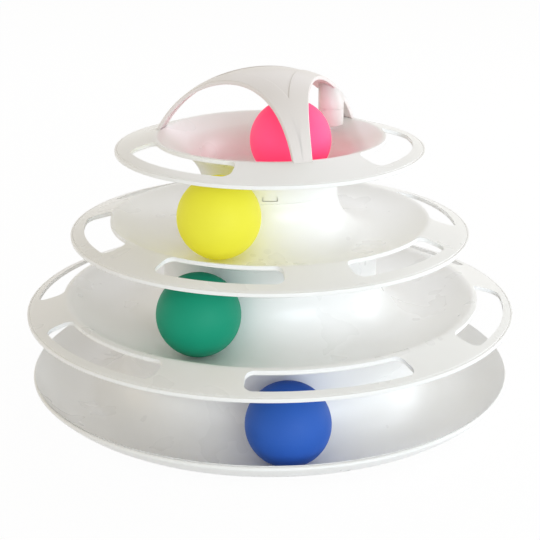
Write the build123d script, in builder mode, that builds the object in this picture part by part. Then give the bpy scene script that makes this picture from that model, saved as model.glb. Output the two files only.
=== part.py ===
from build123d import *
import os
from dataclasses import dataclass
from math import acos, asin, atan2, cos, degrees, hypot, radians, sin, sqrt, tan

# A cat's ball tower: four round levels that plug together, an arched cover and four loose balls.
# Millimetres. The origin is on the floor under the tower's axis, +Z is up, the front is towards -Y.
# A bearing is an angle in plan, in degrees, turned from the front towards the right (+X).

# Balls
ball_diameter = 40.0
ball_wall = 1.2
rolling_gap = 0.3

# Walls, fits and rounded edges
wall = 2.0
fit_gap = 0.3
rim_round = 0.9
slot_edge_round = 0.5
overrun = 1.0

# Tracks: a cove beside the column, a trough, a crest and a brim that slopes down to the lip
cove_gap = 0.7
crest_round = 4.0
brim_slope = 16.5
brim_width = 20.5

# Levels, from the floor up
foot_thickness = 2.0
second_pitch = 43.0
third_pitch = 42.0
top_pitch = 28.7
second_crest_rise = 9.0
third_crest_rise = 6.8
top_crest_rise = 20.4
base_rim_rise = 14.1

# Columns, how far each trough takes to rise to its crest or rim, and the top tray's cup
top_column_radius = 34.0
column_step = 20.5
base_rim_run = 27.7
second_crest_run = 29.0
third_crest_run = 25.8
top_crest_run = 23.0
cup_corner = 4.0

# Joints between the levels: a neck on each column inside the collar of the level above
base_straight = 3.0
second_straight = 3.0
third_straight = 1.5
neck_height = 4.0
neck_root = 5.0

# Snap tongues in the collars, outlined by a slit on three sides
tongue_count = 3
tongue_width = 6.5
tongue_height = 1.8
tongue_above_seam = 1.8
tongue_slit = 0.4

# Finger slots in the brims
second_slot_rim = 4.4
third_slot_rim = 6.2
top_slot_rim = 5.8
slot_width = 14.4
slot_corner = 5.0
track_slot_count = 6
track_slot_span = 40.0
second_slot_bearing = 14.0
third_slot_bearing = -15.5
top_slot_count = 3
top_slot_span = 61.0
top_slot_bearing = -45.0

# Anti-slip pads
foot_diameter = 9.0
foot_inset = 1.7
foot_bearing = -1.3
foot_round = 0.5
foot_boss_margin = 0.8
foot_boss_height = 1.5
foot_names = ["front", "right", "back", "left"]

# Arched cover: a dome with a flatter crown, cut by upright cylinders so that three legs remain
crown_radius = 71.7
crown_turn = 27.7
shoulder_radius = 60.4
dome_rise = 33.9
leg_count = 3
leg_bearing = 15.1
arch_reach = 22.8
arch_radius = 118.0
panel_reach = 13.2
panel_depth = 0.4

# Leg tabs, and the seats for them in the top tray
seat_depth = 0.8
seat_margin = 1.2
seat_height = 5.0
tab_width = 6.0
tab_thickness = 1.2
tab_length = 4.5

# Post under the rear right leg
post_diameter = 13.2
post_bearing = 132.0
post_reach = 42.5
post_neck = 2.6
post_bore_depth = 4.2
post_plug_length = 3.5
post_cap_round = 1.0
post_end_drop = 1.6

# Where each ball lies
blue_bearing = 5.0
green_bearing = -26.4
yellow_bearing = -26.1
pink_bearing = 39.2
pink_reach = 16.0

# Values worked out from the sizes above
ball_radius = ball_diameter / 2
cove_radius = ball_radius + cove_gap
ball_rest = ball_radius + rolling_gap
base_level = foot_thickness + wall
second_level = base_level + second_pitch
third_level = second_level + third_pitch
top_level = third_level + top_pitch
second_column_radius = top_column_radius + column_step
base_column_radius = second_column_radius + column_step
base_track_radius = base_column_radius + cove_radius
base_seam = base_level + cove_radius + base_straight
foot_circle = base_track_radius - foot_inset
top_crest_radius = top_column_radius + top_crest_run
top_lip_radius = top_crest_radius + brim_width
top_crest_level = top_level + top_crest_rise
leg_seat_level = top_crest_level - seat_depth
dome_top = leg_seat_level + dome_rise
crown_centre = dome_top - crown_radius
shoulder_shift = crown_radius - shoulder_radius
shoulder_centre = crown_centre + shoulder_shift * cos(radians(crown_turn))
arch_bearing = leg_bearing + 180 / leg_count


@dataclass
class Tier:
    """The sizes that tell one slotted track from the other."""

    name: str
    level: float
    column_radius: float
    crest_run: float
    crest_rise: float
    straight: float
    collar_radius: float
    collar_seam: float
    slot_rim: float
    slot_bearing: float

    @property
    def track_radius(self):
        return self.column_radius + cove_radius

    @property
    def crest_radius(self):
        return self.track_radius + self.crest_run

    @property
    def lip_radius(self):
        return self.crest_radius + brim_width

    @property
    def seam(self):
        return self.level + cove_radius + self.straight


second_tier = Tier(
    name="second_tier_track",
    level=second_level,
    column_radius=second_column_radius,
    crest_run=second_crest_run,
    crest_rise=second_crest_rise,
    straight=second_straight,
    collar_radius=base_column_radius,
    collar_seam=base_seam,
    slot_rim=second_slot_rim,
    slot_bearing=second_slot_bearing,
)
third_tier = Tier(
    name="third_tier_track",
    level=third_level,
    column_radius=top_column_radius,
    crest_run=third_crest_run,
    crest_rise=third_crest_rise,
    straight=third_straight,
    collar_radius=second_column_radius,
    collar_seam=second_tier.seam,
    slot_rim=third_slot_rim,
    slot_bearing=third_slot_bearing,
)


def plan_angle(bearing):
    """The angle from +X, in plan, of a bearing from the front."""
    return bearing - 90


def plan_point(reach, bearing, level):
    angle = radians(plan_angle(bearing))
    return (reach * cos(angle), reach * sin(angle), level)


def dome_face(depth, level):
    """Turn from the top, in degrees, and reach of the dome's face at a level near the legs' feet."""
    turn = acos((level - shoulder_centre) / (shoulder_radius - depth))
    reach = shoulder_shift * sin(radians(crown_turn)) + (shoulder_radius - depth) * sin(turn)
    return degrees(turn), reach


def dome_level(depth, reach):
    """Level of the dome's face, a depth inside the outer face, at a reach outside the crown."""
    run = reach - shoulder_shift * sin(radians(crown_turn))
    return shoulder_centre + sqrt((shoulder_radius - depth) ** 2 - run**2)


def crest_wave(track_radius, crest_radius, crest_rise):
    """Turn, in degrees, and radius of the arc that rises from a trough to its crest."""
    run = crest_radius - track_radius
    turn = 2 * atan2(crest_rise, run)
    return degrees(turn), run / sin(turn) - crest_round


def draw_brim(start, heading, slope, lip_radius, depth):
    """Crest and brim, from the end of a rise with this slope. Gives the end at the lip."""
    crest = JernArc(start, heading, crest_round - depth, -slope - brim_slope)
    brim_start = crest @ 1
    drop = (lip_radius - brim_start.X) * tan(radians(brim_slope))
    lip = (lip_radius, brim_start.Y - drop)
    Line(brim_start, lip)
    return lip


def draw_rise(track_radius, level, crest_radius, crest_rise, lip_radius, depth):
    """Trough, crest and brim, drawn a depth below the upper face. Gives the end at the lip."""
    turn, rise_radius = crest_wave(track_radius, crest_radius, crest_rise)
    rise = JernArc((track_radius, level - depth), (1, 0), rise_radius + depth, turn)
    return draw_brim(rise @ 1, rise % 1, turn, lip_radius, depth)


def draw_column(column_radius, seam, level, depth):
    """Column face and cove down to the trough, drawn a depth inside the outer face."""
    face = Line((column_radius - depth, seam), (column_radius - depth, level + cove_radius))
    JernArc(face @ 1, face % 1, cove_radius + depth, 90)
    return face @ 0


def flare_slope():
    """Slope, in degrees, of the straight rise that touches the cup's flare and the tray's crest."""
    run = top_crest_run - cove_radius
    rise = top_crest_level - crest_round - flare_level
    lean = acos((flare_radius - crest_round) / hypot(run, rise))
    return degrees(lean - atan2(run, rise))


def draw_tray_rim(flare, slope, depth):
    """Straight rise, crest and brim beyond the end of the cup's flare. Gives the end at the lip."""
    crest_start = (
        top_crest_radius - (crest_round - depth) * sin(radians(slope)),
        top_crest_level - crest_round + (crest_round - depth) * cos(radians(slope)),
    )
    Line(flare @ 1, crest_start)
    return draw_brim(crest_start, flare % 1, slope, top_lip_radius, depth)


def draw_tray():
    """The top tray in section: a cup on a collar, and a flare up to the crest and brim."""
    slope = flare_slope()
    corner_rise = top_level + cup_corner - flare_level
    corner_run = sqrt((flare_radius + cup_corner) ** 2 - corner_rise**2)
    corner_turn = degrees(atan2(corner_run, corner_rise))
    floor = Line((0, top_level), (top_column_radius + cove_radius - corner_run, top_level))
    corner = JernArc(floor @ 1, (1, 0), cup_corner, corner_turn)
    inner_flare = JernArc(corner @ 1, corner % 1, flare_radius, slope - corner_turn)
    inner_lip = draw_tray_rim(inner_flare, slope, 0)
    outer_side = Line((top_column_radius, third_tier.seam), (top_column_radius, flare_level))
    outer_flare = JernArc(outer_side @ 1, (0, 1), flare_radius - wall, slope - 90)
    outer_lip = draw_tray_rim(outer_flare, slope, wall)
    inner_side = Line((top_column_radius - wall, third_tier.seam), (top_column_radius - wall, flare_level))
    under_turn = degrees(asin((top_level - wall - flare_level) / flare_radius))
    under = JernArc(inner_side @ 1, (0, 1), flare_radius, -under_turn)
    Polyline(under @ 1, (0, top_level - wall), floor @ 0)
    Line(inner_side @ 0, outer_side @ 0)
    Line(inner_lip, outer_lip)


def draw_neck(column_radius, seam):
    """The neck above a column, with its root inside the column."""
    inner = column_radius - 2 * wall - fit_gap
    outer = column_radius - wall - fit_gap
    Polyline(
        (inner, seam - neck_root),
        (column_radius - wall / 2, seam - neck_root),
        (column_radius - wall / 2, seam - wall / 2),
        (outer, seam - wall / 2),
        (outer, seam + neck_height),
        (inner, seam + neck_height),
        close=True,
    )


def draw_collar(collar_radius, seam, top):
    """The collar below a level, whose foot stands on the column of the level below."""
    Polyline(
        (collar_radius - wall, seam),
        (collar_radius, seam),
        (collar_radius, top),
        (collar_radius - wall, top),
        close=True,
    )


def tongue_planes(collar_radius, seam):
    """One upright plane for each snap tongue, facing outwards just inside the collar."""
    planes = []
    for number in range(tongue_count):
        bearing = 360 / tongue_count * number
        outward = plan_point(1, bearing, 0)
        origin = plan_point(collar_radius - wall - overrun, bearing, seam + tongue_above_seam)
        planes.append(Plane(origin=origin, x_dir=(-outward[1], outward[0], 0), z_dir=outward))
    return planes


def draw_tongue_slit():
    """The slit on three sides of a tongue, drawn from the middle of the tongue's lower edge."""
    half = tongue_width / 2
    Polyline(
        (-half - tongue_slit, tongue_height),
        (-half - tongue_slit, -tongue_slit),
        (half + tongue_slit, -tongue_slit),
        (half + tongue_slit, tongue_height),
        (half, tongue_height),
        (half, 0),
        (-half, 0),
        (-half, tongue_height),
        close=True,
    )


def slot_sketch(outer, span):
    """One finger slot, seen from above and centred on +X."""
    inner = outer - slot_width
    with BuildSketch() as slot:
        with BuildLine():
            far = CenterArc((0, 0), outer, -span / 2, span)
            near = CenterArc((0, 0), inner, -span / 2, span)
            Line(near @ 0, far @ 0)
            Line(near @ 1, far @ 1)
        make_face()
        fillet(slot.vertices(), slot_corner)
    return slot.sketch


def make_track_tier(tier):
    """A slotted track with its column and neck above and its collar below."""
    with BuildPart() as track:
        with BuildSketch(Plane.XZ):
            with BuildLine():
                ends = []
                for depth in (0, wall):
                    top = draw_column(tier.column_radius, tier.seam, tier.level, depth)
                    lip = draw_rise(
                        tier.track_radius, tier.level, tier.crest_radius, tier.crest_rise, tier.lip_radius, depth
                    )
                    ends.append((top, lip))
                Line(ends[0][0], ends[1][0])
                Line(ends[0][1], ends[1][1])
            make_face()
        revolve(axis=Axis.Z)
        fillet(track.edges().filter_by(GeomType.CIRCLE).group_by(SortBy.RADIUS)[-1], rim_round)
        with BuildSketch(Plane.XZ):
            with BuildLine():
                draw_neck(tier.column_radius, tier.seam)
            make_face()
            with BuildLine():
                draw_collar(tier.collar_radius, tier.collar_seam, tier.level - wall / 2)
            make_face()
        revolve(axis=Axis.Z)
        with BuildSketch():
            with PolarLocations(0, track_slot_count, start_angle=plan_angle(tier.slot_bearing)):
                add(slot_sketch(tier.lip_radius - tier.slot_rim, track_slot_span))
        extrude(amount=tier.seam, mode=Mode.SUBTRACT)
        fillet(track.edges(Select.LAST).filter_by(Axis.Z, reverse=True), slot_edge_round)
        with BuildSketch(*tongue_planes(tier.collar_radius, tier.collar_seam)):
            with BuildLine():
                draw_tongue_slit()
            make_face()
        extrude(amount=wall + overrun + overrun, mode=Mode.SUBTRACT)
    track.part.label = tier.name
    return track.part


def make_dome_core(depth):
    """A solid dome on the level of the legs' seats, a depth inside the cover's outer face."""
    with BuildPart() as core:
        with BuildSketch(Plane.XZ):
            with BuildLine():
                foot_turn = dome_face(depth, leg_seat_level)[0]
                crown = JernArc((0, dome_top - depth), (1, 0), crown_radius - depth, -crown_turn)
                shoulder = JernArc(crown @ 1, crown % 1, shoulder_radius - depth, crown_turn - foot_turn)
                Polyline(shoulder @ 1, (0, leg_seat_level), crown @ 0)
            make_face()
        revolve(axis=Axis.Z)
    return core.part


def draw_leg_feet(margin):
    """Plan of the legs' feet where they sink into the tray's crest, widened all round by a margin."""
    Circle(leg_outer_reach + margin)
    Circle(leg_inner_reach - margin, mode=Mode.SUBTRACT)
    with PolarLocations(arch_reach + arch_radius, leg_count, start_angle=plan_angle(arch_bearing)):
        Circle(arch_radius - margin, mode=Mode.SUBTRACT)


leg_outer_reach = dome_face(0, leg_seat_level)[1]
leg_inner_reach = dome_face(wall, top_crest_level)[1]
tab_reach = (leg_outer_reach + dome_face(wall, leg_seat_level)[1]) / 2

os.makedirs("parts", exist_ok=True)

# Base: a plain dish around the lowest column
with BuildPart() as base_track:
    with BuildSketch(Plane.XZ):
        with BuildLine():
            ends = []
            rim_turn = 2 * atan2(base_rim_rise, base_rim_run)
            for depth in (0, wall):
                top = draw_column(base_column_radius, base_seam, base_level, depth)
                rise_radius = base_rim_run / sin(rim_turn) + depth
                turn = degrees(asin(base_rim_run / rise_radius))
                rise = JernArc((base_track_radius, base_level - depth), (1, 0), rise_radius, turn)
                ends.append((top, rise @ 1))
            Line(ends[0][0], ends[1][0])
            Line(ends[0][1], ends[1][1])
        make_face()
    revolve(axis=Axis.Z)
    fillet(base_track.edges().filter_by(GeomType.CIRCLE).group_by(SortBy.RADIUS)[-1], rim_round)
    with BuildSketch(Plane.XZ):
        with BuildLine():
            draw_neck(base_column_radius, base_seam)
        make_face()
    revolve(axis=Axis.Z)
    with BuildSketch(Plane.XY.offset(foot_thickness)):
        with PolarLocations(foot_circle, len(foot_names), start_angle=plan_angle(foot_bearing)):
            Circle(foot_diameter / 2 + foot_boss_margin)
    extrude(amount=foot_boss_height)
base_track.part.label = "base_track"
export_step(base_track.part, "parts/base_track.step")

# Anti-slip pads under the base
for number, side in enumerate(foot_names):
    foot_place = plan_point(foot_circle, foot_bearing + 360 / len(foot_names) * number, 0)
    with BuildPart() as foot_pad:
        with BuildSketch(Plane.XY):
            with Locations(foot_place):
                Circle(foot_diameter / 2)
        extrude(amount=foot_thickness)
        fillet(foot_pad.edges().group_by(Axis.Z)[0], foot_round)
    foot_pad.part.label = f"foot_pad_{side}"
    export_step(foot_pad.part, f"parts/foot_pad_{side}.step")

# Second and third tiers
for tier in (second_tier, third_tier):
    export_step(make_track_tier(tier), f"parts/{tier.name}.step")

# Top tray: a cup that flares out to a slotted brim, with seats for the cover's legs in its crest
flare_radius = cove_radius + wall
flare_level = third_tier.seam + third_tier.straight
with BuildPart() as top_tray:
    with BuildSketch(Plane.XZ):
        with BuildLine():
            draw_tray()
        make_face()
    revolve(axis=Axis.Z)
    fillet(top_tray.edges().filter_by(GeomType.CIRCLE).group_by(SortBy.RADIUS)[-1], rim_round)
    with BuildSketch():
        with PolarLocations(0, top_slot_count, start_angle=plan_angle(top_slot_bearing)):
            add(slot_sketch(top_lip_radius - top_slot_rim, top_slot_span))
    extrude(amount=top_crest_level + overrun, mode=Mode.SUBTRACT)
    fillet(top_tray.edges(Select.LAST).filter_by(Axis.Z, reverse=True), slot_edge_round)
    with BuildSketch(Plane.XY.offset(leg_seat_level)):
        draw_leg_feet(fit_gap + seat_margin)
    extrude(amount=-seat_height)
    with BuildSketch(Plane.XY.offset(leg_seat_level)):
        draw_leg_feet(fit_gap)
    extrude(amount=seat_depth + overrun, mode=Mode.SUBTRACT)
    with BuildSketch(Plane.XY.offset(leg_seat_level)):
        with PolarLocations(tab_reach, leg_count, start_angle=plan_angle(leg_bearing)):
            Rectangle(tab_thickness + 2 * fit_gap, tab_width + 2 * fit_gap)
    extrude(amount=-seat_height - overrun, mode=Mode.SUBTRACT)
    with BuildSketch(*tongue_planes(top_column_radius, third_tier.seam)):
        with BuildLine():
            draw_tongue_slit()
        make_face()
    extrude(amount=wall + overrun + overrun, mode=Mode.SUBTRACT)
top_tray.part.label = "top_tray"
export_step(top_tray.part, "parts/top_tray.step")

# Post: the upper half is moulded under the cover, the lower half is a plugged cap
post_end = top_crest_level - post_end_drop
post_ring = dome_level(wall, post_reach + post_diameter / 2) - post_neck
post_place = plan_point(post_reach, post_bearing, 0)
post_bore = post_diameter - 2 * wall
with BuildPart() as post_boss:
    with BuildSketch(Plane.XY.offset(post_ring)):
        with Locations(post_place):
            Circle(post_diameter / 2)
    extrude(amount=dome_top - post_ring)
    add(make_dome_core(wall / 2), mode=Mode.INTERSECT)
    with BuildSketch(Plane.XY.offset(post_ring)):
        with Locations(post_place):
            Circle(post_bore / 2)
    extrude(amount=post_bore_depth, mode=Mode.SUBTRACT)

with BuildPart() as post_cap:
    with BuildSketch(Plane.XY.offset(post_end)):
        with Locations(post_place):
            Circle(post_diameter / 2)
    extrude(amount=post_ring - post_end)
    fillet(post_cap.edges().group_by(Axis.Z)[0], post_cap_round)
    with BuildSketch(Plane.XY.offset(post_ring)):
        with Locations(post_place):
            Circle(post_bore / 2 - fit_gap)
    extrude(amount=post_plug_length)
post_cap.part.label = "post_cap"
export_step(post_cap.part, "parts/post_cap.step")

# Sunk three-sided panel on the cover's top, parallel to the arches
with BuildPart() as panel_recess:
    add(make_dome_core(-overrun))
    add(make_dome_core(panel_depth), mode=Mode.SUBTRACT)
    with BuildSketch(Plane.XY.offset(leg_seat_level)):
        Circle(leg_outer_reach)
        with PolarLocations(panel_reach + arch_radius, leg_count, start_angle=plan_angle(arch_bearing)):
            Circle(arch_radius, mode=Mode.SUBTRACT)
    extrude(amount=dome_rise + overrun, mode=Mode.INTERSECT)

# Arched cover
with BuildPart() as dome_cover:
    add(make_dome_core(0))
    add(make_dome_core(wall), mode=Mode.SUBTRACT)
    with BuildSketch(Plane.XY.offset(leg_seat_level - overrun)):
        with PolarLocations(arch_reach + arch_radius, leg_count, start_angle=plan_angle(arch_bearing)):
            Circle(arch_radius)
    extrude(amount=dome_rise + overrun + overrun, mode=Mode.SUBTRACT)
    add(post_boss.part)
    add(panel_recess.part, mode=Mode.SUBTRACT)
    with BuildSketch(Plane.XY.offset(leg_seat_level)):
        with PolarLocations(tab_reach, leg_count, start_angle=plan_angle(leg_bearing)):
            Rectangle(tab_thickness, tab_width)
    extrude(amount=-tab_length)
dome_cover.part.label = "dome_cover"
export_step(dome_cover.part, "parts/dome_cover.step")

# Balls, three resting in the troughs of their levels and one on the floor of the top tray's cup
ball_places = {
    "ball_blue": plan_point(base_track_radius, blue_bearing, base_level + ball_rest),
    "ball_green": plan_point(second_tier.track_radius, green_bearing, second_level + ball_rest),
    "ball_yellow": plan_point(third_tier.track_radius, yellow_bearing, third_level + ball_rest),
    "ball_pink": plan_point(pink_reach, pink_bearing, top_level + ball_rest),
}
for ball_name, ball_place in ball_places.items():
    with BuildPart() as ball:
        with Locations(ball_place):
            Sphere(ball_radius)
            Sphere(ball_radius - ball_wall, mode=Mode.SUBTRACT)
    ball.part.label = ball_name
    export_step(ball.part, f"parts/{ball_name}.step")
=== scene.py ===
import math
from dataclasses import dataclass

import bpy
import bmesh
import numpy as np
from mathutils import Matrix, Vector


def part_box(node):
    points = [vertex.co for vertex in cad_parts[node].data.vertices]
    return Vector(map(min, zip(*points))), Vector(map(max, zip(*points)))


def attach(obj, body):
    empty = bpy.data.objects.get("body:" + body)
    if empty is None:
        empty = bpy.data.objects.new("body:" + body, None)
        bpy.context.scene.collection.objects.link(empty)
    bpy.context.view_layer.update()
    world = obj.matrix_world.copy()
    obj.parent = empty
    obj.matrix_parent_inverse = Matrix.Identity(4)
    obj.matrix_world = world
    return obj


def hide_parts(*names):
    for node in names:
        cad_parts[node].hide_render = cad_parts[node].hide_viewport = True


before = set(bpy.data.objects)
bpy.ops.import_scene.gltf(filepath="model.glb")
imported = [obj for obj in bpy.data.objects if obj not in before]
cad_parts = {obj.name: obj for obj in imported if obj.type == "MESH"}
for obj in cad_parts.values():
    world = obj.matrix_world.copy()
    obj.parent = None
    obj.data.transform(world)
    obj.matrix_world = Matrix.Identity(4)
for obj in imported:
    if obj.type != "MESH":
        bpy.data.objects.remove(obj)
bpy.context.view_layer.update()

# Balls and walls
ball_diameter = 0.040
ball_seam_depth = 0.00005
ball_seam_spread = 0.7
wall = 0.002
fit_gap = 0.0003
edge_round = 0.0003

# Tracks: a cove beside the column, a trough, a crest and a brim that slopes down to the lip
cove_radius = 0.0207
crest_round = 0.004
brim_slope = math.radians(16.5)
brim_width = 0.0205

# Levels and columns
base_level = 0.004
second_level = 0.047
third_level = 0.089
top_level = 0.1177
base_column_radius = 0.075
second_column_radius = 0.0545
third_column_radius = 0.034
base_seam = 0.0277
second_seam = 0.0707
third_seam = 0.1112
neck_height = 0.004
neck_root = 0.005

# Cup of the top tray, with a flare above its collar
flare_level = 0.1127
cup_corner = 0.004

# Base dish
base_rim_radius = 0.1234
base_rim_rise = 0.0141

# Lips: a bead along the edge, parted from the brim by a fine groove
bead_width = 0.0009
groove_width = 0.0005
groove_depth = 0.0004

# Finger slots
slot_width = 0.0144
slot_corner = 0.005
slot_edge_round = 0.0005
band_margin = 0.0012

# Snap tongues in the collars
tongue_count = 3
tongue_width = 0.0065
tongue_height = 0.0018
tongue_above_seam = 0.0018
tongue_slit = 0.0004

# Arched cover
crown_radius = 0.0717
crown_turn = math.radians(27.7)
shoulder_radius = 0.0604
leg_seat_level = 0.1373
dome_top = 0.1712
leg_count = 3
leg_bearing = 15.1
arch_reach = 0.0228
arch_radius = 0.118
panel_reach = 0.0132
panel_depth = 0.0004

# Feet of the legs: seats sunk in the tray's crest, over lugs, and tabs that plug into the lugs
seat_depth = 0.0008
seat_gap = 0.0001
seat_margin = 0.0012
seat_height = 0.005
tab_width = 0.006
tab_thickness = 0.0012
tab_length = 0.0045

# Post under the rear right leg
post_diameter = 0.0132
post_bearing = 132.0
post_reach = 0.0425
post_end = 0.1365
post_ring = 0.14548
post_cap_round = 0.001
ring_gap = 0.00005
ring_round = 0.0001

# Anti-slip pads
foot_thickness = 0.002
foot_diameter = 0.009
foot_boss_margin = 0.0008
foot_boss_height = 0.0015
foot_circle = 0.094
foot_bearing = -1.3
foot_names = ["front", "right", "back", "left"]

# Steps of the meshes
cove_steps = 20
rise_steps = 24
bend_steps = 10
edge_steps = 6
ring_steps = 336
ball_steps = 128
ball_rows = 120
post_steps = 64
foot_steps = 64
boss_steps = 48
slot_across_steps = 18
slot_corner_steps = 7
slot_border_steps = 5
arch_steps = 96
arch_rim_rows = 8
arch_border_rows = 6
panel_rows = 17
leg_end_steps = 8
leg_side_steps = 4
weld_distance = 1e-6
sharp_angle = math.radians(50)

# Worked out from the sizes above
base_track_radius = base_column_radius + cove_radius
crown_centre = dome_top - crown_radius
shoulder_shift = crown_radius - shoulder_radius
shoulder_offset = shoulder_shift * math.sin(crown_turn)
shoulder_centre = crown_centre + shoulder_shift * math.cos(crown_turn)
arch_bearing = leg_bearing + 180 / leg_count
arch_middle = arch_reach + arch_radius


def dome_reach(level, depth):
    """Reach of the cover's face at a level near the feet, a depth below its outer face."""
    shoulder = shoulder_radius - depth
    return shoulder_offset + math.sqrt(shoulder**2 - (level - shoulder_centre) ** 2)


foot_outer = dome_reach(leg_seat_level, 0)
foot_inner = dome_reach(leg_seat_level + seat_depth, wall)
tab_reach = (foot_outer + dome_reach(leg_seat_level, wall)) / 2


@dataclass
class Tray:
    """One slotted level: what the tracks and the top tray have in common."""

    node: str
    body: str
    level: float
    crest_rise: float
    lip_radius: float
    collar_radius: float
    collar_seam: float
    slot_rim: float
    slot_count: int
    slot_span: float
    slot_bearing: float
    steps_along: int

    @property
    def crest_radius(self):
        return self.lip_radius - brim_width

    @property
    def crest_middle(self):
        return self.level + self.crest_rise - crest_round

    @property
    def slot_outer(self):
        return self.lip_radius - self.slot_rim

    @property
    def slot_inner(self):
        return self.slot_outer - slot_width

    def height(self, radius, depth):
        """Height of the face that lies a depth below the upper face, on the rise, crest and brim."""
        radius = np.asarray(radius, float)
        crest = crest_round - depth
        crest_start = self.crest_radius - crest * math.sin(self.slope)
        brim_start = self.crest_radius + crest * math.sin(brim_slope)
        on_crest = np.clip(radius - self.crest_radius, -crest, crest)
        crest_height = self.crest_middle + np.sqrt(crest**2 - on_crest**2)
        brim_drop = (radius - brim_start) * math.tan(brim_slope)
        brim_height = self.crest_middle + crest * math.cos(brim_slope) - brim_drop
        outer = np.where(radius < brim_start, crest_height, brim_height)
        return np.where(radius < crest_start, self.rise_height(radius, depth), outer)


@dataclass
class Track(Tray):
    """A level whose trough runs round its own column."""

    column_radius: float
    seam: float

    @property
    def track_radius(self):
        return self.column_radius + cove_radius

    @property
    def slope(self):
        """Slope, in radians, at the end of the rise."""
        return 2 * math.atan2(self.crest_rise, self.crest_radius - self.track_radius)

    @property
    def rise_radius(self):
        return (self.crest_radius - self.track_radius) / math.sin(self.slope) - crest_round

    def rise_height(self, radius, depth):
        rise = self.rise_radius + depth
        on_rise = np.clip(radius - self.track_radius, 0, rise)
        return self.level + self.rise_radius - np.sqrt(rise**2 - on_rise**2)


@dataclass
class Cup(Tray):
    """The top tray: a cup on a collar that flares out into a straight rise."""

    @property
    def slope(self):
        """Slope, in radians, of the rise that touches both the flare and the crest."""
        run = self.crest_radius - self.collar_radius - cove_radius
        rise = self.crest_middle - flare_level
        return math.acos((cove_radius + wall - crest_round) / math.hypot(run, rise)) - math.atan2(run, rise)

    def rise_height(self, radius, depth):
        crest = crest_round - depth
        crest_start = self.crest_radius - crest * math.sin(self.slope)
        drop = (crest_start - radius) * math.tan(self.slope)
        return self.crest_middle + crest * math.cos(self.slope) - drop


second_tier = Track(
    node="second_tier_track", body="second_tier", level=second_level, crest_rise=0.009, lip_radius=0.1247,
    collar_radius=base_column_radius, collar_seam=base_seam,
    slot_rim=0.0044, slot_count=6, slot_span=40.0, slot_bearing=14.0, steps_along=56,
    column_radius=second_column_radius, seam=second_seam,
)
third_tier = Track(
    node="third_tier_track", body="third_tier", level=third_level, crest_rise=0.0068, lip_radius=0.101,
    collar_radius=second_column_radius, collar_seam=second_seam,
    slot_rim=0.0062, slot_count=6, slot_span=40.0, slot_bearing=-15.5, steps_along=56,
    column_radius=third_column_radius, seam=third_seam,
)
top_tray = Cup(
    node="top_tray", body="top_bowl", level=top_level, crest_rise=0.0204, lip_radius=0.0775,
    collar_radius=third_column_radius, collar_seam=third_seam,
    slot_rim=0.0058, slot_count=3, slot_span=61.0, slot_bearing=-45.0, steps_along=96,
)


def plan_angle(bearing):
    """The angle from +X, in plan and in radians, of a bearing from the front."""
    return math.radians(bearing - 90)


def plan_point(reach, bearing, level):
    angle = plan_angle(bearing)
    return Vector((reach * math.cos(angle), reach * math.sin(angle), level))


class Shell:
    """Patches of a closed surface, welded along their shared edges into one mesh."""

    def __init__(self):
        self.points = []
        self.faces = []

    def grid(self, rows, closed):
        """Quads between rows of points. A closed grid joins the end of each row to its start."""
        rows = np.asarray(rows, float)
        start = len(self.points)
        count, length = rows.shape[:2]
        self.points.extend(rows.reshape(-1, 3).tolist())
        for i in range(count - 1):
            for j in range(length if closed else length - 1):
                k = (j + 1) % length
                a = start + i * length
                b = a + length
                self.faces.append((a + j, a + k, b + k, b + j))

    def revolve(self, path, angles):
        """A path of (radius, height) points carried round the axis through the given angles."""
        path = np.asarray(path, float)
        rows = np.empty((len(path), len(angles), 3))
        rows[:, :, 0] = path[:, :1] * np.cos(angles)
        rows[:, :, 1] = path[:, :1] * np.sin(angles)
        rows[:, :, 2] = path[:, 1:]
        self.grid(rows, closed=True)

    def turned(self, path, place, count):
        """A path turned about an upright axis at a place."""
        start = len(self.points)
        self.revolve(path, full_turn(count))
        moved = np.array(self.points[start:]) + np.array(place)
        self.points[start:] = moved.tolist()

    def build(self, name, place=(0, 0, 0)):
        mesh = bpy.data.meshes.new(name)
        mesh.from_pydata(self.points, [], self.faces)
        work = bmesh.new()
        work.from_mesh(mesh)
        bmesh.ops.remove_doubles(work, verts=work.verts, dist=weld_distance)
        bmesh.ops.dissolve_degenerate(work, edges=work.edges, dist=weld_distance)
        bmesh.ops.recalc_face_normals(work, faces=work.faces)
        for face in work.faces:
            face.smooth = True
        work.to_mesh(mesh)
        work.free()
        mesh.set_sharp_from_angle(angle=sharp_angle)
        piece = bpy.data.objects.new(name, mesh)
        piece.location = place
        bpy.context.scene.collection.objects.link(piece)
        return piece


def full_turn(count):
    return np.linspace(0, 2 * math.pi, count, endpoint=False)


def arc(centre, radius, start, end, steps):
    """Points of an arc from start to end, in degrees."""
    angles = np.radians(np.linspace(start, end, steps + 1))
    return [(centre[0] + radius * math.cos(a), centre[1] + radius * math.sin(a)) for a in angles]


def rounded(points, radii, steps=4):
    """A path with each inner corner rounded to its radius, or left sharp where that is 0."""
    path = [points[0]]
    for before, corner, after, radius in zip(points, points[1:], points[2:], radii):
        if radius == 0:
            path.append(corner)
            continue
        here = np.array(corner)
        back = np.array(before) - here
        on = np.array(after) - here
        back /= np.linalg.norm(back)
        on /= np.linalg.norm(on)
        half = math.acos(np.clip(back @ on, -1, 1)) / 2
        reach = radius / math.tan(half)
        middle = here + (back + on) / np.linalg.norm(back + on) * radius / math.sin(half)
        start = here + back * reach - middle
        end = here + on * reach - middle
        span = math.pi - 2 * half
        for step in range(steps + 1):
            share = step / steps
            blend = (math.sin((1 - share) * span) * start + math.sin(share * span) * end) / math.sin(span)
            path.append(tuple(middle + blend))
    path.append(points[-1])
    return path


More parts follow.
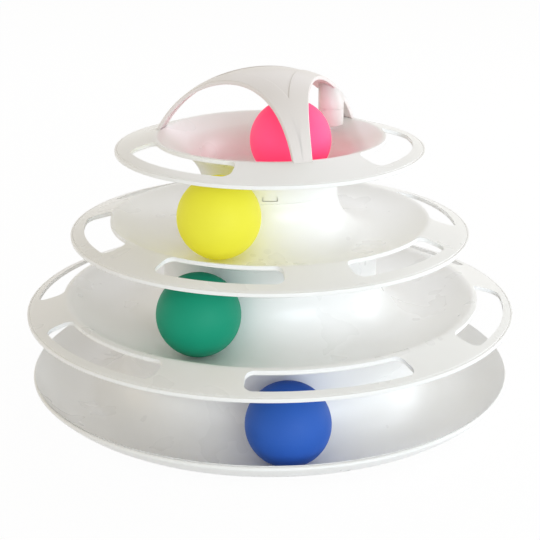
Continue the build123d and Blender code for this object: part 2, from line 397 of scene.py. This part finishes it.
def slot_outline(tray, steps_along, steps_across):
    """Plan points round one slot, as (radius, angle from the slot's middle), in step with its frame."""
    half = math.radians(tray.slot_span / 2)

    def corner(ring, side):
        """Half-circle corner at the inner (-1) or outer (+1) ring, on one side, from ring to end line."""
        rim = tray.slot_outer if ring > 0 else tray.slot_inner
        middle_reach = rim - ring * slot_corner
        lean = math.asin(slot_corner / middle_reach)
        middle_angle = half - lean
        middle = np.array([math.cos(middle_angle), math.sin(middle_angle)]) * middle_reach
        radial = np.array([math.cos(middle_angle), math.sin(middle_angle)]) * ring
        along = np.array([-math.sin(half), math.cos(half)])
        start = math.atan2(radial[1], radial[0])
        turn = (math.atan2(along[1], along[0]) - start + math.pi) % (2 * math.pi) - math.pi
        angles = start + np.linspace(0, turn, 2 * slot_corner_steps + 1)
        xy = middle + slot_corner * np.stack([np.cos(angles), np.sin(angles)], axis=1)
        xy[:, 1] *= side
        return np.stack([np.hypot(xy[:, 0], xy[:, 1]), np.arctan2(xy[:, 1], xy[:, 0])], axis=1)

    def straight(first, last, steps):
        shares = np.linspace(0, 1, steps + 1)[1:-1, None]
        return first + (last - first) * shares

    inner_left, inner_right = corner(-1, -1), corner(-1, 1)
    outer_left, outer_right = corner(1, -1), corner(1, 1)
    along = steps_along - 2 * slot_corner_steps
    across = steps_across - 2 * slot_corner_steps
    middle = slot_corner_steps
    parts = [
        inner_left[middle::-1],
        straight(inner_left[0], inner_right[0], along),
        inner_right,
        straight(inner_right[-1], outer_right[-1], across),
        outer_right[::-1],
        straight(outer_right[0], outer_left[0], along),
        outer_left,
        straight(outer_left[-1], inner_left[-1], across),
        inner_left[:middle:-1],
    ]
    return np.concatenate(parts)


def slot_band(shell, tray, reach_in, reach_out):
    """The part of the brim that holds the slots: upper face, rounded slot walls and lower face."""
    sector = 2 * math.pi / tray.slot_count
    along = tray.steps_along
    across = slot_across_steps
    sweep = np.linspace(-sector / 2, sector / 2, along + 1)
    climb = np.linspace(reach_in, reach_out, across + 1)
    frame_points = np.concatenate([
        np.stack([np.full(along, reach_in), sweep[:-1]], axis=1),
        np.stack([climb[:-1], np.full(across, sweep[-1])], axis=1),
        np.stack([np.full(along, reach_out), sweep[:0:-1]], axis=1),
        np.stack([climb[:0:-1], np.full(across, sweep[0])], axis=1),
    ])
    outline = slot_outline(tray, along, across)
    flat = np.stack([outline[:, 0] * np.cos(outline[:, 1]), outline[:, 0] * np.sin(outline[:, 1])], axis=1)
    ahead = np.roll(flat, -1, axis=0) - np.roll(flat, 1, axis=0)
    ahead /= np.linalg.norm(ahead, axis=1)[:, None]
    outward = np.stack([ahead[:, 1], -ahead[:, 0]], axis=1)

    def offset(distance):
        moved = flat + outward * distance
        return np.stack([np.hypot(moved[:, 0], moved[:, 1]), np.arctan2(moved[:, 1], moved[:, 0])], axis=1)

    turns = np.radians(np.linspace(0, 90, edge_steps))
    insets = slot_edge_round * (1 - np.sin(turns))
    drops = slot_edge_round * (1 - np.cos(turns))
    edge = list(zip(insets, drops))
    rows = []
    near = offset(slot_edge_round)
    for share in np.linspace(0, 1, slot_border_steps + 1)[:-1]:
        rows.append((frame_points + (near - frame_points) * share, 0.0, 0.0))
    rows += [(offset(inset), 0.0, -drop) for inset, drop in edge]
    rows += [(offset(inset), wall, drop) for inset, drop in reversed(edge)]
    for share in np.linspace(1, 0, slot_border_steps + 1)[1:]:
        rows.append((frame_points + (near - frame_points) * share, wall, 0.0))
    for number in range(tray.slot_count):
        middle = plan_angle(tray.slot_bearing) + sector * number
        grid = []
        for polar, depth, lift in rows:
            angle = polar[:, 1] + middle
            level = tray.height(polar[:, 0], depth) + lift
            grid.append(np.stack([polar[:, 0] * np.cos(angle), polar[:, 0] * np.sin(angle), level], axis=1))
        shell.grid(grid, closed=True)


def neck_path(column_radius, seam):
    """From the inside of a column, up over its neck and out to the column's shoulder."""
    inner = column_radius - 2 * wall - fit_gap
    outer = column_radius - wall - fit_gap
    return rounded(
        [
            (column_radius - wall, seam - 2 * neck_root),
            (column_radius - wall, seam - neck_root),
            (inner, seam - neck_root + wall),
            (inner, seam + neck_height),
            (outer, seam + neck_height),
            (outer, seam),
            (column_radius, seam),
            (column_radius, seam - neck_root),
        ],
        [edge_round] * 6,
    )


def collar_path(track):
    """Down the outside of a collar, round its foot and up its inside, between points on the lower face."""
    outer = track.collar_radius
    inner = outer - wall
    start = outer + 4 * edge_round
    end = inner - 4 * edge_round
    return rounded(
        [
            (start, under_height(track, start)),
            (outer, under_height(track, outer)),
            (outer, track.collar_seam),
            (inner, track.collar_seam),
            (inner, under_height(track, inner)),
            (end, under_height(track, end)),
        ],
        [2 * edge_round, edge_round, edge_round, 2 * edge_round],
    )


def under_height(track, radius):
    """Height of the lower face on either side of the trough's lowest line."""
    if radius > track.track_radius:
        return float(track.height(radius, wall))
    cove = cove_radius + wall
    return track.level + cove_radius - math.sqrt(cove**2 - (track.track_radius - radius) ** 2)


def lip_path(tray, reach):
    """From the brim over the groove and the bead round to the lower face of the brim."""
    lip = tray.lip_radius
    groove = lip - bead_width - groove_width / 2

    def upper(radius):
        return float(tray.height(radius, 0))

    def lower(radius):
        return float(tray.height(radius, wall))

    return rounded(
        [
            (reach, upper(reach)),
            (groove - groove_width / 2, upper(groove - groove_width / 2)),
            (groove, upper(groove) - groove_depth),
            (groove + groove_width / 2, upper(groove + groove_width / 2)),
            (lip, upper(lip)),
            (lip, lower(lip)),
            (reach, lower(reach)),
        ],
        [groove_width / 4, groove_width / 5, groove_width / 4, bead_width / 2, bead_width / 2],
        steps=5,
    )


def span_path(tray, start, end, depth, steps):
    radii = np.linspace(start, end, steps + 1)
    return list(zip(radii, tray.height(radii, depth)))


def track_paths(track, reach):
    """Upper and lower faces of a track, between its neck and a reach inside its slots."""
    collar = collar_path(track)
    neck = neck_path(track.column_radius, track.seam)
    middle = (track.track_radius, track.level + cove_radius)
    trough = span_path(track, track.track_radius, reach, 0, rise_steps)
    upper = neck + arc(middle, cove_radius, 180, 270, cove_steps) + trough[1:]
    lean = math.degrees(math.acos((track.track_radius - collar[-1][0]) / (cove_radius + wall)))
    under = span_path(track, reach, collar[0][0], wall, rise_steps)[:-1] + collar
    under += arc(middle, cove_radius + wall, 180 + lean, 180, cove_steps)[1:]
    under.append(neck[0])
    return upper, under


def cup_paths(cup, reach):
    """Upper and lower faces of the top tray, from the middle of its cup to a reach inside its slots."""
    outer = cup.collar_radius
    inner = outer - wall
    flare = (outer + cove_radius, flare_level)
    flare_end = 90 + math.degrees(cup.slope)
    corner_rise = cup.level + cup_corner - flare_level
    corner_run = math.sqrt((cove_radius + wall + cup_corner) ** 2 - corner_rise**2)
    corner_turn = math.degrees(math.atan2(corner_run, corner_rise))
    corner = (flare[0] - corner_run, cup.level + cup_corner)
    under_turn = math.degrees(math.asin((cup.level - wall - flare_level) / (cove_radius + wall)))
    upper = [(0.0, cup.level)] + arc(corner, cup_corner, -90, corner_turn - 90, bend_steps)
    upper += arc(flare, cove_radius + wall, 90 + corner_turn, flare_end, rise_steps)[1:]
    upper += [(reach, float(cup.height(reach, 0)))]
    foot = rounded(
        [(outer, flare_level), (outer, cup.collar_seam), (inner, cup.collar_seam), (inner, flare_level)],
        [edge_round, edge_round],
    )
    under = [(reach, float(cup.height(reach, wall)))]
    under += arc(flare, cove_radius, flare_end, 180, rise_steps)[:-1] + foot
    under += arc(flare, cove_radius + wall, 180, 180 - under_turn, bend_steps)[1:]
    under.append((0.0, cup.level - wall))
    return upper, under


def tray_piece(tray, paths):
    """A slotted level as one closed moulding."""
    shell = Shell()
    reach_in = tray.slot_inner - 2 * band_margin
    reach_out = tray.slot_outer + band_margin
    sector = 2 * math.pi / tray.slot_count
    start = plan_angle(tray.slot_bearing) - sector / 2
    angles = start + np.arange(tray.slot_count * tray.steps_along) * sector / tray.steps_along
    upper, under = paths(tray, reach_in)
    shell.revolve(upper, angles)
    slot_band(shell, tray, reach_in, reach_out)
    shell.revolve(lip_path(tray, reach_out), angles)
    shell.revolve(under, angles)
    piece = shell.build(tray.node)
    carve(piece, tongue_slits(tray), "DIFFERENCE")
    return piece


def carve(piece, tool, operation):
    """Joins a tool's solid to a piece, or takes it away, and rounds the shading again."""
    change = piece.modifiers.new("carve", "BOOLEAN")
    change.operation = operation
    change.solver = "EXACT"
    change.object = tool
    before = piece.data
    after = bpy.data.meshes.new_from_object(piece.evaluated_get(bpy.context.evaluated_depsgraph_get()))
    piece.modifiers.clear()
    piece.data = after
    name = before.name
    bpy.data.meshes.remove(before)
    after.name = name
    after.set_sharp_from_angle(angle=sharp_angle)
    bpy.data.meshes.remove(tool.data)


def prism(shell, outline, offset):
    """A closed prism between an outline of points and the same outline moved by an offset."""
    near = [np.array(point) for point in outline]
    far = [point + np.array(offset) for point in near]
    start = len(shell.points)
    count = len(near)
    shell.points.extend(point.tolist() for point in near + far)
    for i in range(count):
        k = (i + 1) % count
        shell.faces.append((start + i, start + k, start + count + k, start + count + i))
    shell.faces.append(tuple(range(start, start + count)))
    shell.faces.append(tuple(range(start + count, start + 2 * count)))


def leg_foot_outline(margin, bearing, level):
    """Plan of a leg's foot, widened all round by a margin."""
    outer = foot_outer + margin
    inner = foot_inner - margin

    def side(reach):
        """Angle between the leg's middle and its edge, at a reach."""
        span = (reach**2 + arch_middle**2 - (arch_radius - margin) ** 2) / (2 * reach * arch_middle)
        return 180 / leg_count - math.degrees(math.acos(span))

    shares = np.linspace(-1, 1, leg_end_steps + 1)
    reaches = np.linspace(outer, inner, leg_side_steps + 1)
    outline = [plan_point(outer, bearing + side(outer) * share, level) for share in shares]
    outline += [plan_point(reach, bearing + side(reach), level) for reach in reaches[1:-1]]
    outline += [plan_point(inner, bearing + side(inner) * share, level) for share in shares[::-1]]
    outline += [plan_point(reach, bearing - side(reach), level) for reach in reaches[-2:0:-1]]
    return outline


def add_leg_seats(piece):
    """Lugs under the tray's crest, with a sunk seat for each leg's foot and a slot for its tab."""
    lugs = Shell()
    seats = Shell()
    slots = Shell()
    slot_depth = tab_thickness + 2 * fit_gap
    slot_across = tab_width + 2 * fit_gap
    for number in range(leg_count):
        bearing = leg_bearing + 360 / leg_count * number
        prism(lugs, leg_foot_outline(fit_gap + seat_margin, bearing, leg_seat_level), (0, 0, -seat_height))
        prism(seats, leg_foot_outline(seat_gap, bearing, leg_seat_level), (0, 0, 2 * seat_depth))
        slot = plan_box(tab_reach, bearing, slot_depth, slot_across, leg_seat_level + seat_depth)
        prism(slots, slot, (0, 0, -seat_height - 2 * seat_depth))
    carve(piece, lugs.build("lugs"), "UNION")
    carve(piece, seats.build("seats"), "DIFFERENCE")
    carve(piece, slots.build("slots"), "DIFFERENCE")


def tongue_slits(tray):
    """The slits on three sides of each snap tongue, as solids to take away from a collar."""
    shell = Shell()
    half = tongue_width / 2
    section = [
        (-half - tongue_slit, tongue_height), (-half - tongue_slit, -tongue_slit),
        (half + tongue_slit, -tongue_slit), (half + tongue_slit, tongue_height),
        (half, tongue_height), (half, 0), (-half, 0), (-half, tongue_height),
    ]
    for number in range(tongue_count):
        bearing = 360 / tongue_count * number
        outward = plan_point(1, bearing, 0)
        aside = Vector((-outward.y, outward.x, 0))
        foot = plan_point(tray.collar_radius - 1.5 * wall, bearing, tray.collar_seam + tongue_above_seam)
        outline = [foot + aside * across + Vector((0, 0, up)) for across, up in section]
        prism(shell, outline, outward * 2 * wall)
    return shell.build("tongue_slits")


def base_piece():
    """The plain dish around the lowest column, with a boss over each pad."""
    shell = Shell()
    angles = full_turn(ring_steps)
    run = base_rim_radius - base_track_radius
    turn = 2 * math.atan2(base_rim_rise, run)
    rise = run / math.sin(turn)
    middle = (base_track_radius, base_level + cove_radius)
    rise_middle = (base_track_radius, base_level + rise)
    outer_turn = math.degrees(math.asin(run / (rise + wall)))
    inside = arc(rise_middle, rise, -90, -90 + math.degrees(turn), rise_steps)
    outside = arc(rise_middle, rise + wall, -90 + outer_turn, -90, rise_steps)
    rim = rounded([inside[-2], inside[-1], outside[0], outside[1]], [bead_width, bead_width], steps=6)
    neck = neck_path(base_column_radius, base_seam)
    path = neck + arc(middle, cove_radius, 180, 270, cove_steps) + inside[1:-2] + rim + outside[2:]
    path += arc(middle, cove_radius + wall, 270, 180, cove_steps)[1:]
    path.append(neck[0])
    shell.revolve(path, angles)
    boss = foot_path(foot_diameter / 2 + foot_boss_margin, foot_boss_height, edge_round)
    for number in range(len(foot_names)):
        bearing = foot_bearing + 360 / len(foot_names) * number
        shell.turned(boss, plan_point(foot_circle, bearing, foot_thickness), boss_steps)
    return shell.build("base_track")


def turned_piece(name, path, place, count):
    """A piece turned about its own upright axis."""
    shell = Shell()
    shell.revolve(path, full_turn(count))
    return shell.build(name, place)


def ball_piece(name):
    """A hollow ball's outside, with the fine line where its two halves meet."""
    low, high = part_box(name)
    radius = ball_diameter / 2
    path = []
    for lift in np.linspace(-90, 90, ball_rows + 1):
        dip = ball_seam_depth * math.exp(-((lift / ball_seam_spread) ** 2))
        turn = math.radians(lift)
        path.append(((radius - dip) * math.cos(turn), (radius - dip) * math.sin(turn)))
    return turned_piece(name, path, (low + high) / 2, ball_steps)


def dome_height(radius, depth):
    """Height of the cover's face at a depth below its outer face."""
    crown = crown_radius - depth
    shoulder = shoulder_radius - depth
    crown_face = crown_centre + np.sqrt(np.clip(crown**2 - radius**2, 0, None))
    run = radius - shoulder_offset
    shoulder_face = shoulder_centre + np.sqrt(np.clip(shoulder**2 - run**2, 0, None))
    return np.where(radius < crown * math.sin(crown_turn), crown_face, shoulder_face)


def arch_row(shift, bearing, shares):
    """Plan points along an arch's curve, shifted towards the axis, between the middles of two legs."""
    centre = arch_middle - shift
    to_foot = math.acos((centre**2 + arch_radius**2 - foot_outer**2) / (2 * centre * arch_radius))
    to_spine = math.sin(math.pi / leg_count) * centre / arch_radius
    end = to_foot
    if to_spine < 1:
        end = min(end, max(math.asin(to_spine) - math.pi / leg_count, 0))
    turns = end * shares
    ahead = centre - arch_radius * np.cos(turns)
    aside = arch_radius * np.sin(turns)
    angle = plan_angle(bearing)
    x = ahead * math.cos(angle) - aside * math.sin(angle)
    y = ahead * math.sin(angle) + aside * math.cos(angle)
    return x, y


def dome_piece():
    """The three-legged cover, with its sunk panel, rounded arch edges and post."""
    shell = Shell()
    shares = np.linspace(-1, 1, arch_steps + 1)
    panel_shift = arch_reach - panel_reach
    step_width = panel_depth
    edge = slot_edge_round
    tip_middle = (foot_outer + math.sqrt(4 * arch_radius**2 - 3 * foot_outer**2)) / 2
    tip_shift = arch_middle - tip_middle
    outer_rows = [(shift, 0.0) for shift in np.linspace(edge, tip_shift, arch_rim_rows + 1)]
    border_shifts = np.linspace(tip_shift, panel_shift - step_width, arch_border_rows + 1)
    outer_rows += [(shift, 0.0) for shift in border_shifts[1:]]
    outer_rows += [
        (panel_shift - step_width / 4, panel_depth / 10),
        (panel_shift + step_width / 4, panel_depth * 9 / 10),
        (panel_shift + step_width, panel_depth),
    ]
    panel_shifts = np.linspace(panel_shift + step_width, arch_reach, panel_rows + 1)
    outer_rows += [(shift, panel_depth) for shift in panel_shifts[1:]]
    turns = np.radians(np.linspace(90, 0, edge_steps))
    for number in range(leg_count):
        bearing = arch_bearing + 360 / leg_count * number

        def face(shift, depth):
            x, y = arch_row(shift, bearing, shares)
            z = np.maximum(dome_height(np.hypot(x, y), depth), leg_seat_level)
            return np.stack([x, y, z], axis=1)

        upper = [face(shift, depth) for shift, depth in reversed(outer_rows)]
        lower = [face(shift, wall) for shift, depth in outer_rows]
        room = np.clip((face(0, 0.0)[:, 2] - face(0, wall)[:, 2]) / 2, 0, edge)
        rim = []
        for turn in turns[::-1]:
            row = face(edge * (1 - math.sin(turn)), 0.0)
            row[:, 2] -= room * (1 - math.cos(turn))
            rim.append(row)
        for turn in turns:
            row = face(edge * (1 - math.sin(turn)), wall)
            row[:, 2] += room * (1 - math.cos(turn))
            rim.append(row)
        shell.grid(upper + rim[1:-1] + lower, closed=False)
    start = len(shell.points)
    post = post_path(post_ring, post_ring + wall, ring_round)
    shell.turned(post, plan_point(post_reach, post_bearing, 0), post_steps)
    for point in shell.points[start:]:
        if point[2] > post_ring + wall / 2:
            point[2] = float(dome_height(np.array(math.hypot(point[0], point[1])), wall / 2))
    for number in range(leg_count):
        bearing = leg_bearing + 360 / leg_count * number
        tab = plan_box(tab_reach, bearing, tab_thickness, tab_width, leg_seat_level)
        prism(shell, tab, (0, 0, -tab_length))
    piece = shell.build("dome_cover")
    settle_normals(piece.data)
    return piece


def settle_normals(mesh):
    """Takes the normals of the cover's smooth faces from the dome, so that its long facets don't show."""
    normals = []
    for vertex in mesh.vertices:
        x, y, z = vertex.co
        radius = math.hypot(x, y)
        normal = vertex.normal.copy()
        for depth in (0.0, panel_depth, wall):
            if abs(z - float(dome_height(np.array(radius), depth))) < weld_distance:
                on_crown = radius < (crown_radius - depth) * math.sin(crown_turn)
                middle = (0, 0, crown_centre)
                if not on_crown:
                    middle = (x / radius * shoulder_offset, y / radius * shoulder_offset, shoulder_centre)
                normal = (vertex.co - Vector(middle)).normalized()
                if depth == wall:
                    normal = -normal
        normals.append(normal)
    mesh.normals_split_custom_set_from_vertices(normals)


def plan_box(reach, bearing, depth, width, level):
    """Corners of a level rectangle, centred at a reach and a bearing and square to the bearing."""
    outward = plan_point(1, bearing, 0)
    aside = Vector((-outward.y, outward.x, 0))
    middle = plan_point(reach, bearing, level)
    corners = ((-1, -1), (1, -1), (1, 1), (-1, 1))
    return [middle + outward * a * depth / 2 + aside * b * width / 2 for a, b in corners]


def post_path(bottom, top, bottom_round):
    """A solid round bar's outline from the middle of its lower face to the middle of its upper face."""
    radius = post_diameter / 2
    return rounded(
        [(0, bottom), (radius, bottom), (radius, top), (0, top)],
        [bottom_round, ring_round],
        steps=6,
    )


def foot_path(radius, height, bottom_round):
    outline = [(0, 0), (radius, 0), (radius, height), (0, height)]
    return rounded(outline, [bottom_round, edge_round], steps=5)


# Plastics: a faint cloud in colour and gloss, and a fine ripple
refraction = 1.5
cloud_scale = 30
cloud_detail = 3
cloud_low_share = 0.3
cloud_high_share = 0.7
gloss_spread = 0.1
ripple_detail = 2
ripple_height = 0.0002


def plastic(name, colour, roughness, sheen, mottle, ripple, grain, painted_glow=(0, 0, 0)):
    """Moulded plastic: clouded faintly in colour and gloss, finely rippled, with a painted glow where one is
    given, as emission though the part is no lamp.
    """
    material = bpy.data.materials.new(name)
    material.use_nodes = True
    nodes = material.node_tree.nodes
    links = material.node_tree.links
    shader = nodes["Principled BSDF"]
    shader.inputs["IOR"].default_value = refraction
    shader.inputs["Specular IOR Level"].default_value = sheen
    # Painted glow: emission that brightens the part and what lies near it, though it is no lamp
    shader.inputs["Emission Color"].default_value = (*painted_glow, 1)
    shader.inputs["Emission Strength"].default_value = 1.0
    place = nodes.new("ShaderNodeTexCoord")
    cloud = nodes.new("ShaderNodeTexNoise")
    cloud.inputs["Scale"].default_value = cloud_scale
    cloud.inputs["Detail"].default_value = cloud_detail
    links.new(place.outputs["Object"], cloud.inputs["Vector"])
    tint = nodes.new("ShaderNodeValToRGB")
    tint.color_ramp.elements[0].position = cloud_low_share
    tint.color_ramp.elements[1].position = cloud_high_share
    tint.color_ramp.elements[0].color = (*[c * (1 - mottle) for c in colour], 1)
    tint.color_ramp.elements[1].color = (*[min(1, c * (1 + mottle)) for c in colour], 1)
    links.new(cloud.outputs["Fac"], tint.inputs["Fac"])
    links.new(tint.outputs["Color"], shader.inputs["Base Color"])
    gloss = nodes.new("ShaderNodeMapRange")
    gloss.inputs["To Min"].default_value = roughness * (1 - gloss_spread)
    gloss.inputs["To Max"].default_value = roughness * (1 + gloss_spread)
    links.new(cloud.outputs["Fac"], gloss.inputs["Value"])
    links.new(gloss.outputs["Result"], shader.inputs["Roughness"])
    fine = nodes.new("ShaderNodeTexNoise")
    fine.inputs["Scale"].default_value = grain
    fine.inputs["Detail"].default_value = ripple_detail
    links.new(place.outputs["Object"], fine.inputs["Vector"])
    bump = nodes.new("ShaderNodeBump")
    bump.inputs["Strength"].default_value = ripple
    bump.inputs["Distance"].default_value = ripple_height
    links.new(fine.outputs["Fac"], bump.inputs["Height"])
    links.new(bump.outputs["Normal"], shader.inputs["Normal"])
    return material


white = plastic(
    "white_plastic", (0.93, 0.925, 0.915), roughness=0.28, sheen=0.5, mottle=0.01, ripple=0.05, grain=400
)
# The cover and its post cap use the trays' white plastic painted darker and warmer: painted shade for the
# weaker light that falls on the cover from overhead
cover_shaded_white = plastic(
    "cover_plastic_painted_shade", (0.83, 0.785, 0.765), roughness=0.32, sheen=0.4, mottle=0.01, ripple=0.05, grain=400
)
pad_rubber = plastic(
    "pad_rubber", (0.62, 0.62, 0.60), roughness=0.7, sheen=0.5, mottle=0.05, ripple=0.5, grain=2500
)
satin = {"roughness": 0.55, "sheen": 0.25, "mottle": 0.03, "ripple": 0.2, "grain": 1500}
ball_finishes = {
    "ball_blue": plastic("blue_plastic", (0.025, 0.115, 0.50), **satin),
    "ball_green": plastic("green_plastic", (0.004, 0.30, 0.175), **satin),
    # The yellow and pink balls carry a painted glow: emission that lights their shaded sides and the tray
    # near them, though they are no lamps
    "ball_yellow": plastic("yellow_plastic", (0.64, 0.615, 0.055), painted_glow=(0.22, 0.20, 0.0), **satin),
    "ball_pink": plastic("pink_plastic", (0.98, 0.12, 0.30), painted_glow=(0.35, 0.0, 0.02), **satin),
}


def finish_piece(piece, body, node, material):
    piece.data.materials.append(material)
    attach(piece, body)
    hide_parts(node)


# Mouldings
finish_piece(base_piece(), "base", "base_track", white)
for track in (second_tier, third_tier):
    finish_piece(tray_piece(track, track_paths), track.body, track.node, white)
cup = tray_piece(top_tray, cup_paths)
add_leg_seats(cup)
finish_piece(cup, top_tray.body, top_tray.node, white)
finish_piece(dome_piece(), "cover", "dome_cover", cover_shaded_white)
cap_path = post_path(post_end, post_ring - ring_gap, post_cap_round)
cap = turned_piece("post_cap", cap_path, plan_point(post_reach, post_bearing, 0), post_steps)
finish_piece(cap, "cover", "post_cap", cover_shaded_white)

# Pads
for number, side in enumerate(foot_names):
    place = plan_point(foot_circle, foot_bearing + 360 / len(foot_names) * number, 0)
    path = foot_path(foot_diameter / 2, foot_thickness, foot_thickness / 4)
    pad = turned_piece(f"foot_pad_{side}", path, place, foot_steps)
    finish_piece(pad, "base", f"foot_pad_{side}", pad_rubber)

# Balls
for node, material in ball_finishes.items():
    finish_piece(ball_piece(node), node.replace("ball_", "") + "_ball", node, material)


# Floor, lights and camera
floor_size = 6.0
floor_paint = (0.8, 0.8, 0.8, 1)
floor_glow = 1.02
floor_glow_share = 0.94
sky_low = (1.16, 1.15, 1.10, 1)
sky_high = (0.285, 0.247, 0.182, 1)
lamp_aim_height = 0.08
lamp_distance = 1.3
camera_distance = 0.6361
camera_height = 0.2854
camera_pitch = math.radians(19.02)
sensor_width = 36
focal_pixels = 1300
frame_pixels = 540


def studio_floor():
    """A pale floor that shows as white, but takes the object's shadow and lights it as plain paint."""
    mesh = bpy.data.meshes.new("studio_floor")
    half = floor_size / 2
    corners = [(-half, -half, 0), (half, -half, 0), (half, half, 0), (-half, half, 0)]
    mesh.from_pydata(corners, [], [(0, 1, 2, 3)])
    floor = bpy.data.objects.new("studio_floor", mesh)
    bpy.context.scene.collection.objects.link(floor)
    material = bpy.data.materials.new("studio_floor")
    material.use_nodes = True
    nodes = material.node_tree.nodes
    links = material.node_tree.links
    nodes.remove(nodes["Principled BSDF"])
    paint = nodes.new("ShaderNodeBsdfDiffuse")
    paint.inputs["Color"].default_value = floor_paint
    glow = nodes.new("ShaderNodeEmission")
    glow.inputs["Color"].default_value = (1, 1, 1, 1)
    glow.inputs["Strength"].default_value = floor_glow
    rays = nodes.new("ShaderNodeLightPath")
    shown = nodes.new("ShaderNodeMath")
    shown.operation = "MAXIMUM"
    links.new(rays.outputs["Is Camera Ray"], shown.inputs[0])
    links.new(rays.outputs["Is Glossy Ray"], shown.inputs[1])
    share = nodes.new("ShaderNodeMath")
    share.operation = "MULTIPLY"
    share.inputs[1].default_value = floor_glow_share
    links.new(shown.outputs["Value"], share.inputs[0])
    mix = nodes.new("ShaderNodeMixShader")
    links.new(share.outputs["Value"], mix.inputs["Fac"])
    links.new(paint.outputs["BSDF"], mix.inputs[1])
    links.new(glow.outputs["Emission"], mix.inputs[2])
    links.new(mix.outputs["Shader"], nodes["Material Output"].inputs["Surface"])
    mesh.materials.append(material)


def studio_world():
    """Light from all round, brighter at the horizon than overhead. The camera sees plain white."""
    world = bpy.data.worlds.new("studio")
    bpy.context.scene.world = world
    world.use_nodes = True
    nodes = world.node_tree.nodes
    links = world.node_tree.links
    light = nodes["Background"]
    place = nodes.new("ShaderNodeTexCoord")
    split = nodes.new("ShaderNodeSeparateXYZ")
    links.new(place.outputs["Generated"], split.inputs["Vector"])
    sky = nodes.new("ShaderNodeValToRGB")
    sky.color_ramp.elements[0].color = sky_low
    sky.color_ramp.elements[1].color = sky_high
    links.new(split.outputs["Z"], sky.inputs["Fac"])
    links.new(sky.outputs["Color"], light.inputs["Color"])
    light.inputs["Strength"].default_value = 1.0
    shown = nodes.new("ShaderNodeBackground")
    shown.inputs["Color"].default_value = (1, 1, 1, 1)
    shown.inputs["Strength"].default_value = 1.0
    rays = nodes.new("ShaderNodeLightPath")
    mix = nodes.new("ShaderNodeMixShader")
    links.new(rays.outputs["Is Camera Ray"], mix.inputs["Fac"])
    links.new(light.outputs["Background"], mix.inputs[1])
    links.new(shown.outputs["Background"], mix.inputs[2])
    links.new(mix.outputs["Shader"], nodes["World Output"].inputs["Surface"])


def area_light(name, place, target, size, power, colour):
    data = bpy.data.lights.new(name, "AREA")
    data.shape = "RECTANGLE"
    data.size, data.size_y = size
    data.energy = power
    data.color = colour
    lamp = bpy.data.objects.new(name, data)
    lamp.location = place
    lamp.rotation_euler = (Vector(target) - Vector(place)).to_track_quat("-Z", "Y").to_euler()
    bpy.context.scene.collection.objects.link(lamp)


studio_floor()
studio_world()
middle = Vector((0, 0, lamp_aim_height))
for name, bearing, lift, size, power, colour in (
    ("front_softbox", 28, 9, (0.9, 0.6), 6.7, (0.76, 0.88, 1.0)),
    ("right_softbox", 112, 21, (0.7, 1.3), 6.9, (0.88, 0.935, 1.0)),
    ("left_light", -110, 12, (0.6, 0.6), 0.6, (1.0, 0.75, 0.4)),
    ("back_light", 180, 40, (0.8, 0.8), 2.0, (0.8, 0.85, 1.0)),
):
    reach = lamp_distance * math.cos(math.radians(lift))
    place = middle + plan_point(reach, bearing, lamp_distance * math.sin(math.radians(lift)))
    area_light(name, place, middle, size, power, colour)

camera_data = bpy.data.cameras.new("camera")
camera_data.sensor_width = sensor_width
camera_data.sensor_fit = "HORIZONTAL"
camera_data.lens = sensor_width * focal_pixels / frame_pixels
camera = bpy.data.objects.new("camera", camera_data)
camera.location = (0, -camera_distance, camera_height)
camera.rotation_euler = (math.pi / 2 - camera_pitch, 0, 0)
bpy.context.scene.collection.objects.link(camera)
bpy.context.scene.camera = camera
bpy.context.scene.view_settings.view_transform = "Standard"
